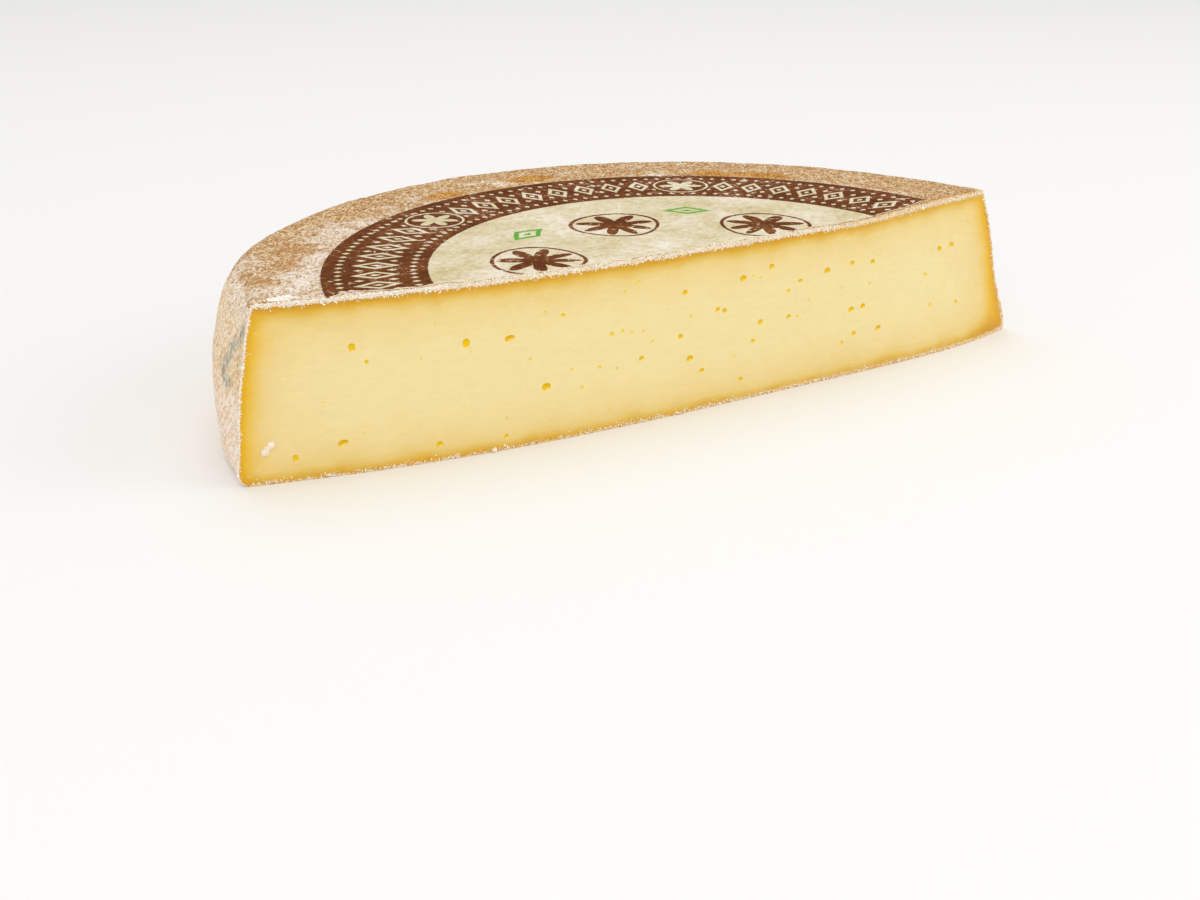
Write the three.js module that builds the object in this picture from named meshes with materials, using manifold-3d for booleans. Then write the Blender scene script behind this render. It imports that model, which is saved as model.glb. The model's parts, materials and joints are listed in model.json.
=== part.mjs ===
import * as THREE from 'three';
import { mergeVertices } from 'three/addons/utils/BufferGeometryUtils.js';
import Module from 'manifold-3d';

// Half of a raclette wheel lying flat, with the paper label on its top.
// Millimetres, +Z up. X runs along the cut, and the cut face looks towards -Y.
// Shapes are worked out round the wheel's upright axis, then moved together so that the
// origin lies under the middle of the half wheel.

// Wheel, read as radii at three heights of its bulging side
const wheelHeight = 59.5;
const toeRadius = 159;
const bellyRadius = 162;
const bellyHeight = 20;
const crownRadius = 155.6;
const shoulderRound = 4;
const footRound = 5;

// The shoulder is crisper where the knife went through it, and so is the foot at the cut's right end
const endShoulderRound = 1.2;
const endFootRound = 1.5;

// A little way behind the cut's left end the shoulder is worn round
const wornShoulder = { arc: 30, width: 22, extra: 8 };

// Unevenness of the side: shallow waves round the wheel
const lumpDepth = 0.5;
const lumpsRound = [5, 9, 14];

// The cut runs behind the axis, bends back towards its two ends, and leans back at its right end
const cutSetback = 13;
const cutLeft = { reach: 150, bow: 16.7, power: 2.4, slope: 0 };
const cutRight = { reach: 160, bow: 6.8, power: 6, slope: 0.02 };
const cutLean = { start: 72, end: 132, depth: 7.5 };

// At the cut's left end the crust has drawn in, and at its right end the wheel has spread at the foot
const leftEnd = { angle: 2.945, crisp: 12, fade: 22, pull: 9.2, footHold: 0.72, footFade: 14 };
const rightEnd = { angle: 0.165, crisp: 25, fade: 45, toe: 11.4, footFade: 16, flare: 2.2, topHold: 0.85 };

// Eyes that the knife has opened: along the cut, height, width and height of the opening
const eyes = [
  [-135, 8, 2, 2.3], [-120, 11.2, 3.6, 2.2], [-115.3, 43, 2.4, 2.7], [-88.6, 6, 2.4, 2],
  [-78.3, 39.5, 2.6, 3.2], [-63.3, 39, 3.6, 2.1], [-50.5, 20, 3.3, 2.7], [3.6, 44.6, 2.2, 2],
  [6.3, 20.2, 2.9, 2.1], [28.4, 45.8, 2.8, 2.3], [36.7, 28.3, 2.1, 2], [40.7, 48.3, 2.3, 2],
  [66.4, 42.8, 2.8, 2.3], [89, 42.5, 2.4, 1.9], [93.5, 16, 2.9, 1.9], [134.5, 41, 2.7, 1.9],
];
const eyeSink = 0.35;
const eyeDepth = 1.1;

// Paper label, torn along the cut
const labelRadius = 124;
const labelThickness = 0.3;
const labelGap = 0.1;
const labelMargin = 0.5;
const tearWaves = [[0.2, 9], [0.15, 23], [0.1, 41]];
const tears = [[-113, 3.2, 5], [-102, 1.6, 12], [-84, 2.4, 4], [60, 0.8, 6], [117, 1.4, 4]];

// Fineness of the facets
const wheelSegments = 180;
const sideSteps = 9;
const roundSteps = 4;
const cutSteps = 56;
const labelSegments = 160;
const eyeSegments = 10;
const cutterMargin = 40;

const wasm = await Module();
wasm.setup();

function toSolid(geometry) {
  const bare = geometry.clone();
  bare.deleteAttribute('normal');
  bare.deleteAttribute('uv');
  const merged = mergeVertices(bare);
  const index = Array.from(merged.index.array);
  const triangles = [];
  for (let i = 0; i < index.length; i += 3) {
    const [a, b, c] = index.slice(i, i + 3);
    if (a !== b && b !== c && c !== a) triangles.push(a, b, c);
  }
  return new wasm.Manifold(new wasm.Mesh({
    numProp: 3,
    vertProperties: new Float32Array(merged.attributes.position.array),
    triVerts: new Uint32Array(triangles),
  }));
}

function toGeometry(solid) {
  const mesh = solid.getMesh();
  const geometry = new THREE.BufferGeometry();
  geometry.setAttribute('position', new THREE.BufferAttribute(mesh.vertProperties, 3));
  geometry.setIndex(new THREE.BufferAttribute(mesh.triVerts, 1));
  geometry.computeVertexNormals();
  return geometry;
}

// 1 at an end of the cut, falling away within a reach along the side
function fadeFrom(endAngle, reach, angle) {
  const turn = Math.atan2(Math.sin(angle - endAngle), Math.cos(angle - endAngle));
  return Math.exp(-((turn * bellyRadius / reach) ** 2));
}

// Radius of the wheel's side at a height, with its two edges rounded off
function sideRadius(angle, z) {
  const nearRight = fadeFrom(rightEnd.angle, rightEnd.crisp, angle);
  const nearEnd = Math.max(fadeFrom(leftEnd.angle, leftEnd.crisp, angle), nearRight);
  const wornAngle = leftEnd.angle - wornShoulder.arc / bellyRadius;
  const worn = shoulderRound + wornShoulder.extra * fadeFrom(wornAngle, wornShoulder.width, angle);
  const shoulder = THREE.MathUtils.lerp(worn, endShoulderRound, nearEnd);
  const foot = THREE.MathUtils.lerp(footRound, endFootRound, nearRight);
  const above = (z - bellyHeight) / (wheelHeight - bellyHeight);
  const below = (bellyHeight - z) / bellyHeight;
  const fall = z > bellyHeight
    ? (bellyRadius - crownRadius) * above ** 2
    : (bellyRadius - toeRadius) * below ** 2;
  const intoShoulder = THREE.MathUtils.clamp(1 - (wheelHeight - z) / shoulder, 0, 1);
  const intoFoot = THREE.MathUtils.clamp(1 - z / foot, 0, 1);
  const rounding = shoulder * (1 - Math.sqrt(1 - intoShoulder ** 2))
    + foot * (1 - Math.sqrt(1 - intoFoot ** 2));
  return bellyRadius - fall - rounding;
}

// The left end is drawn in, least at its foot
function leftOffset(angle, z) {
  const held = leftEnd.footHold * Math.exp(-z / leftEnd.footFade);
  return -leftEnd.pull * (1 - held) * fadeFrom(leftEnd.angle, leftEnd.fade, angle);
}

// At the right end the foot spreads, and the wall above it flares, least at its top
function rightOffset(angle, z) {
  const foot = Math.exp(-((z / rightEnd.footFade) ** 2));
  const wall = rightEnd.flare * (1 - rightEnd.topHold * (z / wheelHeight) ** 3);
  return THREE.MathUtils.lerp(wall, rightEnd.toe, foot) * fadeFrom(rightEnd.angle, rightEnd.fade, angle);
}

function outerRadius(angle, z) {
  const waves = lumpsRound.map((n) => Math.sin(n * angle + z / n));
  const lumps = waves.reduce((sum, wave) => sum + wave, 0) / lumpsRound.length;
  return sideRadius(angle, z) + lumpDepth * lumps + leftOffset(angle, z) + rightOffset(angle, z);
}

// How far back the cut lies at a point along it and a height
function cutLine(x, z) {
  const side = x < 0 ? cutLeft : cutRight;
  const foot = cutSetback + side.slope * x + side.bow * (Math.abs(x) / side.reach) ** side.power;
  const lean = cutLean.depth * THREE.MathUtils.smoothstep(x, cutLean.start, cutLean.end);
  return foot + lean * z / wheelHeight;
}

// The torn paper ends a little behind the cut, further where a strip came away
function tearLine(x) {
  const waves = tearWaves.map(([depth, length]) => depth * Math.sin(2 * Math.PI * x / length));
  const strips = tears.map(([at, depth, width]) => depth * Math.exp(-(((x - at) / width) ** 2)));
  return [...waves, ...strips].reduce((sum, depth) => sum + depth, cutLine(x, wheelHeight) + labelMargin);
}

function wheelSolid() {
  const quarter = Math.PI / 2;
  const heights = [];
  for (let i = 0; i <= roundSteps; i++) {
    heights.push(footRound * (1 - Math.cos(quarter * i / roundSteps)));
  }
  const wallHeight = wheelHeight - shoulderRound - footRound;
  for (let i = 1; i < sideSteps; i++) heights.push(footRound + wallHeight * i / sideSteps);
  for (let i = 0; i <= roundSteps; i++) {
    heights.push(wheelHeight - shoulderRound * (1 - Math.sin(quarter * i / roundSteps)));
  }
  const profile = heights.map((z) => new THREE.Vector2(bellyRadius, z));
  profile.unshift(new THREE.Vector2(0, 0));
  profile.push(new THREE.Vector2(0, wheelHeight));
  const geometry = new THREE.LatheGeometry(profile, wheelSegments).rotateX(quarter);
  const position = geometry.attributes.position;
  for (let i = 0; i < position.count; i++) {
    const angle = Math.atan2(position.getY(i), position.getX(i));
    const z = position.getZ(i);
    const scale = outerRadius(angle, z) / bellyRadius;
    position.setXY(i, position.getX(i) * scale, position.getY(i) * scale);
  }
  return toSolid(geometry);
}

// Block in front of a line across the wheel, tall enough to cut right through; the line may lean with height
function frontBlock(line) {
  const reach = bellyRadius + cutterMargin;
  const outline = new THREE.Shape();
  outline.moveTo(reach, -reach);
  for (let i = cutSteps; i >= 0; i--) outline.lineTo(reach * (2 * i / cutSteps - 1), 0);
  outline.lineTo(-reach, -reach);
  const depth = wheelHeight + 2 * cutterMargin;
  const geometry = new THREE.ExtrudeGeometry(outline, { depth, bevelEnabled: false });
  geometry.translate(0, 0, -cutterMargin);
  const position = geometry.attributes.position;
  for (let i = 0; i < position.count; i++) {
    if (position.getY(i) > -reach / 2) position.setY(i, line(position.getX(i), position.getZ(i)));
  }
  return toSolid(geometry);
}

// An eye is an egg-shaped hollow with its widest part just behind the cut face
function eyeSolid([along, up, width, height]) {
  const geometry = new THREE.SphereGeometry(0.5, eyeSegments, eyeSegments);
  geometry.scale(width, eyeDepth * Math.max(width, height), height);
  return toSolid(geometry.translate(along, cutLine(along, up) + eyeSink * height, up));
}

function cheeseSolid() {
  const half = wheelSolid().subtract(frontBlock(cutLine));
  return eyes.reduce((solid, eye) => solid.subtract(eyeSolid(eye)), half);
}

function labelSolid() {
  const disc = new THREE.CylinderGeometry(labelRadius, labelRadius, labelThickness, labelSegments);
  disc.rotateX(Math.PI / 2);
  disc.translate(0, 0, wheelHeight + labelGap + labelThickness / 2);
  return toSolid(disc).subtract(frontBlock(tearLine));
}

function named(name, solid, look) {
  const mesh = new THREE.Mesh(toGeometry(solid), new THREE.MeshStandardMaterial(look));
  mesh.name = name;
  return mesh;
}

const cheese = named('cheese', cheeseSolid(), { color: '#dcb87c', roughness: 0.8, metalness: 0 });
const label = named('label', labelSolid(), { color: '#6a4630', roughness: 0.75, metalness: 0 });

const halfWheel = new THREE.Group();
halfWheel.add(cheese, label);
const middle = new THREE.Box3().setFromObject(cheese).getCenter(new THREE.Vector3());
halfWheel.position.set(-middle.x, -middle.y, 0);

export default halfWheel;
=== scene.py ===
"""Half of a raclette wheel, cut face to the front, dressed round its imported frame."""

import json
import math
from functools import partial

import bpy
import numpy as np
from mathutils import Euler, Matrix, Vector, noise


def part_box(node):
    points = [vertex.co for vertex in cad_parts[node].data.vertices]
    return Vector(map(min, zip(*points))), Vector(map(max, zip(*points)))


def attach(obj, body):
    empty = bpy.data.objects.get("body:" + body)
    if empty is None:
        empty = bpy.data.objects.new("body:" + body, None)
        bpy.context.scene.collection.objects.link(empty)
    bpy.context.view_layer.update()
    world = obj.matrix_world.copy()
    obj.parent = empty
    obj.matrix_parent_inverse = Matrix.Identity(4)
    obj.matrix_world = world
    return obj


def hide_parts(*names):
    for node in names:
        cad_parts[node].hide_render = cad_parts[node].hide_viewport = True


bl_info = {
    "name": "Raclette half wheel",
    "version": (1, 0, 0),
    "blender": (4, 5, 0),
    "location": "View3D > Sidebar > Cheese",
    "description": "Models the half wheel, its crumbs, its paper label and a plain studio",
    "category": "Object",
}

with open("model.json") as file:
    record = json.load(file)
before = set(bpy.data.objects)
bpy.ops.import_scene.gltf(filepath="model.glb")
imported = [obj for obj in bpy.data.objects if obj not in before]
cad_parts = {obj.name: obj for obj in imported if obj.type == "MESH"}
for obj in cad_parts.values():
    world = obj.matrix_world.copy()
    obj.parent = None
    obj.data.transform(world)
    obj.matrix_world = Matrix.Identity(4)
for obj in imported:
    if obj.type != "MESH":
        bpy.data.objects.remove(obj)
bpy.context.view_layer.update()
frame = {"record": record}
CHEESE_LOW, CHEESE_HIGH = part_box("cheese")
LABEL_LOW, LABEL_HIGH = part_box("label")

MM = 0.001

# The resting face's point lies this far behind the wheel's upright axis
BASE_BEHIND_AXIS = 0.066
BASE = frame["record"]["mounts"][0]["pos_m"]
AXIS = np.array((BASE[0], BASE[1] - BASE_BEHIND_AXIS, 0.0))

# Shape of the wheel in millimetres round its axis, as the solid has it
HEIGHT = (CHEESE_HIGH.z - CHEESE_LOW.z) / MM
TOE_RADIUS = 159.0
BELLY_RADIUS = 162.0
BELLY_HEIGHT = 20.0
CROWN_RADIUS = 155.6
SHOULDER_ROUND = 4.0
END_SHOULDER_ROUND = 1.2
WORN_SHOULDER = dict(arc=30.0, width=22.0, extra=8.0)
FOOT_ROUND = 5.0
END_FOOT_ROUND = 1.5
LUMP_DEPTH = 0.5
LUMPS_ROUND = (5, 9, 14)
CUT_SETBACK = 13.0
CUT_LEFT = dict(reach=150.0, bow=16.7, power=2.4, slope=0.0)
CUT_RIGHT = dict(reach=160.0, bow=6.8, power=6.0, slope=0.02)
CUT_LEAN = dict(start=72.0, end=132.0, depth=7.5)
LEFT_END = dict(angle=2.945, crisp=12.0, fade=22.0, pull=9.2, foot_hold=0.72, foot_fade=14.0)
RIGHT_END = dict(angle=0.165, crisp=25.0, fade=45.0, toe=11.4, foot_fade=16.0, flare=2.2, top_hold=0.85)

# Opened eyes: along the cut, height, width and height of the opening; the solid has the same
LARGE_EYES = (
    (-135, 8, 2.0, 2.3), (-120, 11.2, 3.6, 2.2), (-115.3, 43, 2.4, 2.7), (-88.6, 6, 2.4, 2.0),
    (-78.3, 39.5, 2.6, 3.2), (-63.3, 39, 3.6, 2.1), (-50.5, 20, 3.3, 2.7), (3.6, 44.6, 2.2, 2.0),
    (6.3, 20.2, 2.9, 2.1), (28.4, 45.8, 2.8, 2.3), (36.7, 28.3, 2.1, 2.0), (40.7, 48.3, 2.3, 2.0),
    (66.4, 42.8, 2.8, 2.3), (89, 42.5, 2.4, 1.9), (93.5, 16, 2.9, 1.9), (134.5, 41, 2.7, 1.9),
)

# Shallow eyes and pinholes besides them: along the cut, height and width
SMALL_EYES = (
    (-111, 37.6, 1.6), (-93.6, 36.3, 0.8), (-88.6, 47.6, 0.9), (-77, 36.3, 0.9), (-71.8, 39.4, 0.8),
    (-65.3, 4.8, 1.9), (-65, 11.3, 1.1), (-56.2, 30.8, 1.2), (-50.5, 46.2, 1.1), (-44, 44.1, 1.6),
    (-41, 24.7, 1.2), (-37.2, 17.4, 1.4), (-30.3, 23.6, 1.5), (-26.6, 7.7, 1.1), (-25.5, 34.6, 1.6),
    (-23.5, 21.9, 1.2), (-21.3, 34.9, 1.5), (-20.6, 48.7, 1.3), (-17.7, 33.7, 1.2), (-15.5, 51.2, 1.5),
    (-14, 6.1, 0.9), (-13.8, 23.8, 2.1), (-13.2, 33.5, 1.2), (-9.5, 29.2, 1.4), (2.2, 29, 2.2),
    (6.5, 35.7, 1.3), (11.5, 14.7, 2.1), (17.7, 36.2, 2.1), (20.7, 35.3, 2.1), (25.6, 17.5, 1.2),
    (28.8, 8.1, 2.1), (32.8, 46, 1.3), (33.7, 21.8, 1.8), (36, 44.8, 1.2), (48.8, 38, 1.7),
    (49.5, 28.2, 2.0), (53.4, 27.8, 1.2), (54, 40.9, 1.9), (58.7, 33, 1.2), (73.9, 35.1, 1.2),
    (75.4, 13.6, 1.7), (78.3, 43.8, 2.3), (79.1, 25.9, 2.6), (81.1, 16.1, 2.3), (85, 26.1, 2.5),
    (87.9, 34.4, 1.4), (119.3, 32.1, 1.7), (121.9, 19.8, 1.6), (127.5, 40.5, 2.6), (137, 18.1, 1.9),
    (143.6, 48.6, 1.4),
)

# How deep an eye goes for its width; a narrow one has less of that depth, and below a width paler walls
EYE_DEPTH = 0.34
PINHOLE = dict(width=0.8, full_after=1.3, least=0.35)
PALE_EYE = 1.55
SMALL_EYE_TALL = 0.8

# Paper label
LABEL_BASE = LABEL_LOW.z / MM
LABEL_THICKNESS = (LABEL_HIGH.z - LABEL_LOW.z) / MM
LABEL_RADIUS = 124.0
LABEL_MARGIN = 0.5
TEAR_WAVES = ((0.2, 9), (0.15, 23), (0.1, 41))
TEARS = ((-113, 3.2, 5), (-102, 1.6, 12), (-84, 2.4, 4), (60, 0.8, 6), (117, 1.4, 4))

# Print of the label: ink, count round the wheel, radius of the row, half width, half height, power of its
# outline (1 lozenge, 2 ellipse), petals, turn in degrees, and levels of ink from its middle to its outline
SOLID = ((0.0, 1.0), (0.92, 1.0), (1.0, 0.0))
HOLLOW = ((0.0, 1.0), (0.2, 1.0), (0.26, 0.0), (0.58, 0.0), (0.64, 1.0), (0.95, 1.0), (1.0, 0.0))
HOOP = ((0.0, 0.0), (0.8, 0.0), (0.84, 1.0), (0.96, 1.0), (1.0, 0.0))
INK_BLUR = 0.15
LABEL_MOTIFS = (
    ("pale", 60, 106.5, 4.3, 8.2, 1.0, 0, 3, HOLLOW),
    ("pale", 60, 112.0, 1.2, 1.8, 1.0, 0, 0, SOLID),
    ("pale", 60, 101.0, 1.2, 1.8, 1.0, 0, 0, SOLID),
    ("pale", 168, 118.6, 1.1, 1.5, 1.0, 0, 0, SOLID),
    ("pale", 138, 94.2, 1.1, 1.5, 1.0, 0, 0, SOLID),
    ("bare", 6, 106.5, 12.4, 12.4, 2.0, 0, 0, SOLID),
    ("pale", 6, 106.5, 11.0, 11.0, 2.0, 0, 0, HOOP),
    ("pale", 6, 106.5, 8.6, 8.6, 2.0, 6, 0, SOLID),
    ("brown", 6, 53.0, 16.5, 16.5, 2.0, 0, 30, HOOP),
    ("brown", 6, 53.0, 14.4, 14.4, 2.0, 8, 30, SOLID),
    ("green", 6, 67.0, 9.5, 5.6, 1.0, 0, 0, HOLLOW),
)

# Cloth and mould on the rind; the streak runs down the side by arc from the left end and height
TWILL_PITCH = 1.8
STREAK = ((4.0, 50.5), (8.5, 46.3), (13.1, 42.4), (16.0, 36.3), (17.4, 34.2), (16.0, 32.4), (12.6, 31.2))
STREAK_WIDTH = 2.1

# On the top, by turn round the axis in degrees, radius, half length and half width:
# stains of the wash, and drifts where the bloom lies thicker or thinner by the last number
STAINS = (
    (105.0, 131.0, 9.0, 4.5), (86.4, 134.2, 10.0, 5.0), (53.5, 129.6, 8.0, 4.2), (44.8, 131.0, 12.0, 5.0),
)
DRIFTS = (
    (155.0, 129.0, 20.0, 6.0, 0.14), (151.0, 147.0, 16.0, 6.0, 0.08), (93.7, 141.0, 13.0, 6.0, 0.06),
    (79.0, 139.0, 10.0, 5.0, 0.13), (31.0, 132.0, 13.0, 7.0, -0.14),
)

# How thick the bloom lies on the top and round the side, more or less than its mean
PALLOR = dict(by_label=0.1, by_rim=-0.1, right_end=-0.24, front=0.07, back=-0.15, side=0.08, left_foot=0.48,
              left_wall=0.07, left_bare=-0.12, left_shoulder=0.22)

# The amber is thinner by these millimetres over the base and at the two ends, wider at the right end as a
# share, and it goes deepest in the lower right corner, where the foot has spread
AMBER_SHIFT = dict(base=1.7, left=1.5, right=0.6)
RIGHT_AMBER = 0.85
DRY_CORNER = dict(share=0.7, along=26.0, up=17.0)

# How steeply the broken crust ends, away from each stretch of the cut's outline
CRUST_FALL = dict(top_left=1.1, top=0.74, top_right=0.5, base_left=1.6, base_right=0.75, left=2.6,
                  right_foot=0.8, right=2.0)

# Camera of the photograph, about the wheel's axis
CAMERA_PLACE = np.array((-0.28314, -0.41575, 0.20262))
CAMERA_TURN = (math.radians(90 - 22.819), 0.0, math.radians(-30.521))
CAMERA_LENS = 46.78
SENSOR_WIDTH = 36.0


def linear(code):
    """sRGB hex colour as the linear values that shaders and colour properties hold."""
    channels = (int(code[i:i + 2], 16) / 255 for i in (1, 3, 5))
    return tuple(c / 12.92 if c <= 0.04045 else ((c + 0.055) / 1.055) ** 2.4 for c in channels)


class RacletteSizes(bpy.types.PropertyGroup):
    """Sizes and amounts that can be changed without touching the wheel's solid."""
    stations: bpy.props.IntProperty(
        name="Stations", description="Sections of the half wheel from one end of the cut to the other",
        default=320, min=40)
    rind_relief: bpy.props.FloatProperty(
        name="Rind relief", description="Depth of the lumps that the mould and brushing leave in the rind",
        default=0.9 * MM, unit='LENGTH')
    edge_relief: bpy.props.FloatProperty(
        name="Edge relief", description="Roughness of the rind where the knife broke through it",
        default=1.3 * MM, unit='LENGTH')
    crumbs: bpy.props.IntProperty(
        name="Crumbs", description="Rind crumbs along the edges of the cut", default=6000, min=0)
    ring_inner: bpy.props.FloatProperty(
        name="Ring inner radius", description="Where the label's brown ring meets its pale middle",
        default=89.4 * MM, unit='LENGTH')


SWATCH = dict(subtype='COLOR', size=3, min=0.0, max=1.0)


class RacletteColours(bpy.types.PropertyGroup):
    """Colours of the cheese, its rind and its label."""
    paste: bpy.props.FloatVectorProperty(
        name="Paste", description="Middle of the cut face", default=linear("#efdda1"), **SWATCH)
    amber: bpy.props.FloatVectorProperty(
        name="Amber", description="Drier paste just under the rind", default=linear("#e1a90e"), **SWATCH)
    rind: bpy.props.FloatVectorProperty(
        name="Rind", description="Washed rind between the bloom", default=linear("#c3975f"), **SWATCH)
    bloom: bpy.props.FloatVectorProperty(
        name="Bloom", description="Pale dry bloom on the rind", default=linear("#e2d0bb"), **SWATCH)
    print_brown: bpy.props.FloatVectorProperty(
        name="Brown print", description="Ring and flowers of the label", default=linear("#6c390f"), **SWATCH)
    paper: bpy.props.FloatVectorProperty(
        name="Paper", description="Unprinted paper of the label", default=linear("#dfd2b4"), **SWATCH)
    print_green: bpy.props.FloatVectorProperty(
        name="Green print", description="Small lozenges of the label", default=linear("#64a638"), **SWATCH)


def mix(a, b, t):
    return a + (b - a) * t


def fade_from(end_angle, reach, angle):
    """1 at an end of the cut, falling away within a reach along the side."""
    turn = np.arctan2(np.sin(angle - end_angle), np.cos(angle - end_angle))
    return np.exp(-(turn * BELLY_RADIUS / reach) ** 2)


def side_radius(angle, z):
    """Radius of the wheel's side at a height: its shoulder is crisp at the cut, worn behind its left end."""
    near_right = fade_from(RIGHT_END["angle"], RIGHT_END["crisp"], angle)
    near_end = np.maximum(fade_from(LEFT_END["angle"], LEFT_END["crisp"], angle), near_right)
    worn_angle = LEFT_END["angle"] - WORN_SHOULDER["arc"] / BELLY_RADIUS
    worn = WORN_SHOULDER["extra"] * fade_from(worn_angle, WORN_SHOULDER["width"], angle)
    shoulder = mix(SHOULDER_ROUND + worn, END_SHOULDER_ROUND, near_end)
    above = (z - BELLY_HEIGHT) / (HEIGHT - BELLY_HEIGHT)
    below = (BELLY_HEIGHT - z) / BELLY_HEIGHT
    fall = np.where(z > BELLY_HEIGHT, (BELLY_RADIUS - CROWN_RADIUS) * above ** 2,
                    (BELLY_RADIUS - TOE_RADIUS) * below ** 2)
    into_shoulder = np.clip(1 - (HEIGHT - z) / shoulder, 0, 1)
    foot = mix(FOOT_ROUND, END_FOOT_ROUND, near_right)
    into_foot = np.clip(1 - z / foot, 0, 1)
    rounding = (shoulder * (1 - np.sqrt(1 - into_shoulder ** 2))
                + foot * (1 - np.sqrt(1 - into_foot ** 2)))
    return BELLY_RADIUS - fall - rounding


def left_offset(angle, z):
    """The crust has drawn in at the cut's left end, least at its foot."""
    held = LEFT_END["foot_hold"] * np.exp(-z / LEFT_END["foot_fade"])
    return -LEFT_END["pull"] * (1 - held) * fade_from(LEFT_END["angle"], LEFT_END["fade"], angle)


def right_offset(angle, z):
    """At the right end the foot spreads, and the wall above it flares, least at its top."""
    foot = np.exp(-(z / RIGHT_END["foot_fade"]) ** 2)
    wall = RIGHT_END["flare"] * (1 - RIGHT_END["top_hold"] * (z / HEIGHT) ** 3)
    return mix(wall, RIGHT_END["toe"], foot) * fade_from(RIGHT_END["angle"], RIGHT_END["fade"], angle)


def outer_radius(angle, z):
    lumps = sum(np.sin(n * angle + z / n) for n in LUMPS_ROUND) / len(LUMPS_ROUND)
    return side_radius(angle, z) + LUMP_DEPTH * lumps + left_offset(angle, z) + right_offset(angle, z)


def smooth_step(x, start, end):
    t = np.clip((x - start) / (end - start), 0, 1)
    return t * t * (3 - 2 * t)


def cut_line(x, z):
    """How far back the cut lies at a point along it and a height; it leans back at its right end."""
    left, right = (side["slope"] * x + side["bow"] * (np.abs(x) / side["reach"]) ** side["power"]
                   for side in (CUT_LEFT, CUT_RIGHT))
    lean = CUT_LEAN["depth"] * smooth_step(x, CUT_LEAN["start"], CUT_LEAN["end"])
    return CUT_SETBACK + np.where(x < 0, left, right) + lean * z / HEIGHT


def tear_line(x):
    """Torn edge of the paper, a little behind the cut and further where a strip came away."""
    waves = sum(depth * np.sin(2 * math.pi * x / length) for depth, length in TEAR_WAVES)
    strips = sum(depth * np.exp(-((x - at) / width) ** 2) for at, depth, width in TEARS)
    return cut_line(x, HEIGHT) + LABEL_MARGIN + waves + strips


def cut_ends(z):
    """Where the cut meets the wheel's side at each height: x on the left and on the right."""
    ends = []
    for inside, outside in ((-100.0, -200.0), (100.0, 200.0)):
        near = np.full_like(z, inside)
        far = np.full_like(z, outside)
        for _ in range(40):
            x = (near + far) / 2
            y = cut_line(x, z)
            within = np.hypot(x, y) < outer_radius(np.arctan2(y, x), z)
            near = np.where(within, x, near)
            far = np.where(within, far, x)
        ends.append((near + far) / 2)
    return ends


def to_frame(x, y, z):
    """Millimetres round the wheel's axis to metres in the frame."""
    return np.stack([x, y, z], axis=-1) * MM + AXIS


def from_frame(points):
    return (points - AXIS) / MM


def deselect_all():
    if bpy.context.object and bpy.context.object.mode != 'OBJECT':
        bpy.ops.object.mode_set(mode='OBJECT')
    bpy.ops.object.select_all(action='DESELECT')


def activate(piece):
    deselect_all()
    piece.select_set(True)
    bpy.context.view_layer.objects.active = piece


def vertex_places(piece):
    places = np.empty(len(piece.data.vertices) * 3)
    piece.data.vertices.foreach_get("co", places)
    return places.reshape(-1, 3)


def move_vertices(piece, places):
    piece.data.vertices.foreach_set("co", np.asarray(places, dtype=np.float64).ravel())
    piece.data.update()


def add_grid(name, columns, rows):
    """A grid of columns by rows faces with each vertex's column and row as whole numbers."""
    deselect_all()
    bpy.ops.mesh.primitive_grid_add(x_subdivisions=columns, y_subdivisions=rows, size=1.0)
    piece = bpy.context.object
    piece.name = piece.data.name = name
    places = vertex_places(piece)
    column = np.rint((places[:, 0] + 0.5) * columns).astype(int)
    row = np.rint((places[:, 1] + 0.5) * rows).astype(int)
    return piece, column, row


def close_seams(piece, distance):
    """Merge the vertices that meet along seams and at the pointed ends, and turn the faces out."""
    activate(piece)
    bpy.ops.object.mode_set(mode='EDIT')
    bpy.ops.mesh.select_all(action='SELECT')
    bpy.ops.mesh.remove_doubles(threshold=distance)
    bpy.ops.mesh.dissolve_degenerate(threshold=distance / 10)
    bpy.ops.mesh.normals_make_consistent(inside=False)
    bpy.ops.object.mode_set(mode='OBJECT')


def set_weights(piece, name, weights):
    group = piece.vertex_groups.new(name=name)
    for level in np.unique(np.round(weights, 2)):
        if level > 0:
            members = np.nonzero(np.round(weights, 2) == level)[0]
            group.add(members.tolist(), float(level), 'REPLACE')


def displace(piece, name, size, depth, group=""):
    """Push the surface in and out by cloudy noise with lumps of the given size, then apply it."""
    texture = bpy.data.textures.new(name, 'CLOUDS')
    texture.noise_scale = size
    modifier = piece.modifiers.new(name, 'DISPLACE')
    modifier.texture = texture
    modifier.texture_coords = 'LOCAL'
    modifier.strength = depth
    modifier.mid_level = 0.5
    modifier.vertex_group = group
    apply_modifier(piece, modifier)


CRISP_ANGLE = math.radians(40)


def apply_modifier(piece, modifier):
    activate(piece)
    bpy.ops.object.modifier_apply(modifier=modifier.name)


def finish_piece(piece, slot, *nodes):
    """Smooth a piece and tie it to the frame; one that replaces a solid keeps its crisp edges."""
    activate(piece)
    if nodes:
        bpy.ops.object.shade_smooth_by_angle(angle=CRISP_ANGLE)
    else:
        bpy.ops.object.shade_smooth()
    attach(piece, "root")
    if nodes:
        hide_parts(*nodes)


NOISE = "ShaderNodeTexNoise"
MATH = "ShaderNodeMath"
VECTOR = "ShaderNodeVectorMath"
RANGE = "ShaderNodeMapRange"
RAMP = "ShaderNodeValToRGB"
MIX = "ShaderNodeMix"
ATTRIBUTE = "ShaderNodeAttribute"
SMOOTH = dict(interpolation_type='SMOOTHSTEP')


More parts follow.
